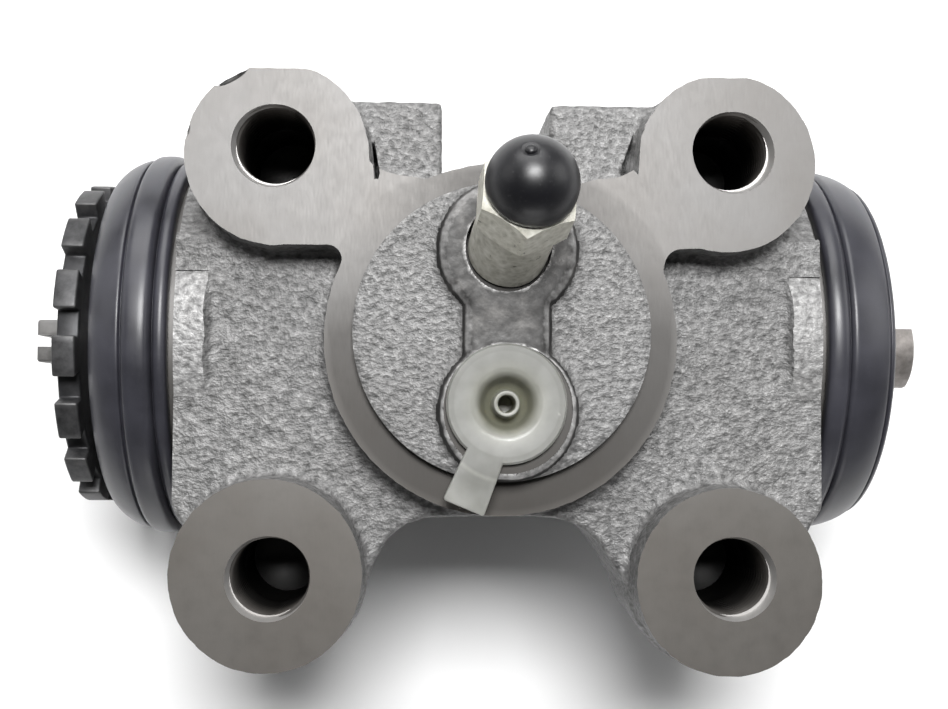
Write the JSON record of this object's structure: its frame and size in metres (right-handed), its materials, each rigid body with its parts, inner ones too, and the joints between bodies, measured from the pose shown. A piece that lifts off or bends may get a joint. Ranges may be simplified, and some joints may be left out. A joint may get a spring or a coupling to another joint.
{
  "type": "wheel cylinder",
  "caption": "Cast drum brake wheel cylinder with opposed pistons, dust boots, a toothed screw adjuster, a tilted bleeder and a plugged inlet behind a bolted mounting face.",
  "frame": {"origin": "centre of the four bolt holes, on the machined mounting face", "axes": "+X along the bore from the adjuster to the tappet, +Y across the bore towards the bleeder, +Z out of the mounting face"},
  "size_m": [0.1683, 0.1004, 0.1105],
  "materials": {
    "casting": "sand cast, with machined faces",
    "seat_metal": "turned",
    "boot_rubber": "satin",
    "spring_steel": "plain",
    "piston_metal": "turned",
    "seal_rubber": "satin",
    "dark_steel": "dark phosphate",
    "screw_steel": "plain",
    "zinc_steel": "pale yellow zinc plate",
    "cap_rubber": "glossy",
    "plug_plastic": "translucent"
  },
  "bodies": {
    "cylinder": {"cylinder_body": "casting", "inlet_seat": "seat_metal", "left_boot": "boot_rubber", "right_boot": "boot_rubber", "return_spring": "spring_steel"},
    "left_piston_set": {"left_piston": "piston_metal", "left_piston_cup": "seal_rubber", "left_cup_expander": "spring_steel"},
    "wheel": {"adjuster_wheel": "dark_steel", "adjuster_seal_ring": "seal_rubber"},
    "screw": {"adjuster_screw": "screw_steel"},
    "right_piston_set": {"right_piston": "piston_metal", "right_piston_cup": "seal_rubber", "right_cup_expander": "spring_steel"},
    "tappet": {"right_tappet": "screw_steel"},
    "bleeder": {"bleeder_screw": "zinc_steel"},
    "cap": {"bleeder_cap": "cap_rubber"},
    "plug": {"inlet_plug": "plug_plastic"}
  },
  "joints": [
    {"name": "left_piston_slide", "type": "slide", "parent": "cylinder", "child": "left_piston_set", "axis": [-1, 0, 0], "range_m": [-0.003, 0.008], "deforming": ["left_boot", "return_spring"]},
    {"name": "adjuster_turn", "type": "hinge", "parent": "left_piston_set", "child": "wheel", "pos_m": [-0.075, 0.0045, -0.041], "axis": [-1, 0, 0], "range_deg": [0, 2520]},
    {"name": "screw_feed", "type": "slide", "parent": "left_piston_set", "child": "screw", "axis": [-1, 0, 0], "range_m": [0, 0.01051]},
    {"name": "right_piston_slide", "type": "slide", "parent": "cylinder", "child": "right_piston_set", "axis": [1, 0, 0], "range_m": [-0.003, 0.008], "deforming": ["right_boot"]},
    {"name": "tappet_turn", "type": "hinge", "parent": "right_piston_set", "child": "tappet", "pos_m": [0.075, 0.0045, -0.041], "axis": [1, 0, 0], "continuous": true},
    {"name": "bleeder_turn", "type": "hinge", "parent": "cylinder", "child": "bleeder", "pos_m": [0.00035, 0.0184, 0.0055], "axis": [0.1047, 0.342, 0.9338], "range_deg": [0, 360]},
    {"name": "cap_pull", "type": "slide", "parent": "bleeder", "child": "cap", "axis": [0.1047, 0.342, 0.9338], "range_m": [0, 0.014]},
    {"name": "plug_pull", "type": "slide", "parent": "cylinder", "child": "plug", "axis": [0, 0, 1], "range_m": [0, 0.014]}
  ],
  "couplings": [
    {"joint": "screw_feed", "follows": "adjuster_turn", "m_per_rad": 0.00023873}
  ]
}
